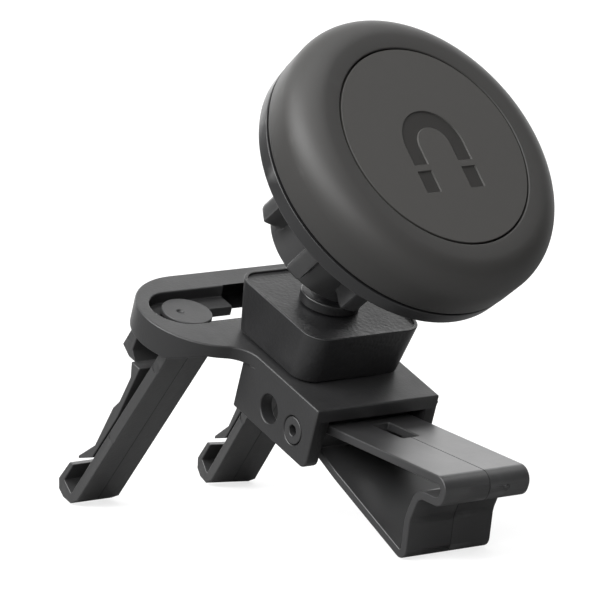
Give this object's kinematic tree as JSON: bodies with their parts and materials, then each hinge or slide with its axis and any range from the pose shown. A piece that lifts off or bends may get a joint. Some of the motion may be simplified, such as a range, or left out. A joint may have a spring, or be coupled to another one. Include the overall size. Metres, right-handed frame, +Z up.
{
  "type": "car phone mount",
  "caption": "Magnetic phone mount for a car air vent: round magnetic head on a clamped ball joint, slotted bracket, hook legs with release levers and a folding foot.",
  "frame": {"origin": "middle of the bounding box, on the surface that the hooks and the foot's heel stand on", "axes": "+Z up, X across the bracket, +Y from the foot towards the hook legs"},
  "size_m": [0.0494, 0.092, 0.0802],
  "materials": {
    "soft_rubber": "matt soft-touch silicone",
    "black_plastic": "satin moulded",
    "textured_plastic": "fine spark-eroded grain",
    "grey_plastic": "plain moulded",
    "steel": "zinc plated",
    "magnet_nickel": "bright nickel plate"
  },
  "bodies": {
    "bracket": {"bracket_body": "textured_plastic", "neck_block": "textured_plastic", "left_neck_screw": "steel", "right_neck_screw": "steel", "foot_pivot_pin": "grey_plastic"},
    "foot": {"foot": "black_plastic"},
    "ball_stem": {"ball_stem": "black_plastic", "stem_washer": "steel", "stem_screw": "steel"},
    "ball_pad": {"ball_pad": "grey_plastic"},
    "head": {"backing_plate": "steel", "ball_socket": "black_plastic", "face_disc": "soft_rubber", "head_back_shell": "black_plastic", "head_screw_1": "steel", "head_screw_2": "steel", "head_screw_3": "steel", "magnet_1": "magnet_nickel", "magnet_2": "magnet_nickel", "magnet_3": "magnet_nickel", "magnet_4": "magnet_nickel", "magnet_5": "magnet_nickel", "magnet_6": "magnet_nickel", "magnet_tray": "grey_plastic", "rubber_cap": "soft_rubber"},
    "collar_nut": {"collar_nut": "black_plastic"},
    "left_slider": {"left_slide_button": "black_plastic", "left_slide_washer": "steel"},
    "left_leg": {"left_hook_leg": "black_plastic"},
    "left_lever": {"left_release_lever": "black_plastic"},
    "right_slider": {"right_slide_button": "black_plastic", "right_slide_washer": "steel"},
    "right_leg": {"right_hook_leg": "black_plastic"},
    "right_lever": {"right_release_lever": "black_plastic"}
  },
  "joints": [
    {"name": "foot_fold", "type": "hinge", "parent": "bracket", "child": "foot", "pos_m": [-0.00172, -0.01193, 0.01767], "axis": [1, 0, 0], "range_deg": [-8, 50]},
    {"name": "stem_swivel", "type": "hinge", "parent": "bracket", "child": "ball_stem", "pos_m": [-0.00172, -0.01164, 0.04829], "axis": [0, -0.3961, 0.9182], "continuous": true},
    {"name": "head_tilt", "type": "hinge", "parent": "ball_stem", "child": "ball_pad", "pos_m": [-0.00172, -0.01164, 0.04829], "axis": [0.9799, 0.1831, 0.079], "range_deg": [-70, 4]},
    {"name": "head_roll", "type": "hinge", "parent": "ball_pad", "child": "head", "pos_m": [-0.00172, -0.01164, 0.04829], "axis": [0.1077, -0.8194, 0.563], "continuous": true},
    {"name": "collar_turn", "type": "hinge", "parent": "head", "child": "collar_nut", "pos_m": [-0.00172, -0.01164, 0.04829], "axis": [0.1077, -0.8194, 0.563], "range_deg": [0, 180]},
    {"name": "left_slide", "type": "slide", "parent": "bracket", "child": "left_slider", "axis": [1, 0, 0], "range_m": [-0.0018, 0.0045]},
    {"name": "left_swivel", "type": "hinge", "parent": "left_slider", "child": "left_leg", "pos_m": [-0.01572, 0.01406, 0.03063], "axis": [0, -0.3961, 0.9182], "range_deg": [-12, 12]},
    {"name": "left_release", "type": "hinge", "parent": "left_leg", "child": "left_lever", "pos_m": [-0.01572, 0.02728, 0.01621], "axis": [1, 0, 0], "range_deg": [0, 6], "stiffness_Nm_per_rad": 0.02},
    {"name": "right_slide", "type": "slide", "parent": "bracket", "child": "right_slider", "axis": [1, 0, 0], "range_m": [-0.0025, 0.005]},
    {"name": "right_swivel", "type": "hinge", "parent": "right_slider", "child": "right_leg", "pos_m": [0.00898, 0.01406, 0.03063], "axis": [0, -0.3961, 0.9182], "range_deg": [-3, 20]},
    {"name": "right_release", "type": "hinge", "parent": "right_leg", "child": "right_lever", "pos_m": [0.00998, 0.0272, 0.01618], "axis": [0.9877, -0.1436, -0.062], "range_deg": [0, 6], "stiffness_Nm_per_rad": 0.02}
  ]
}
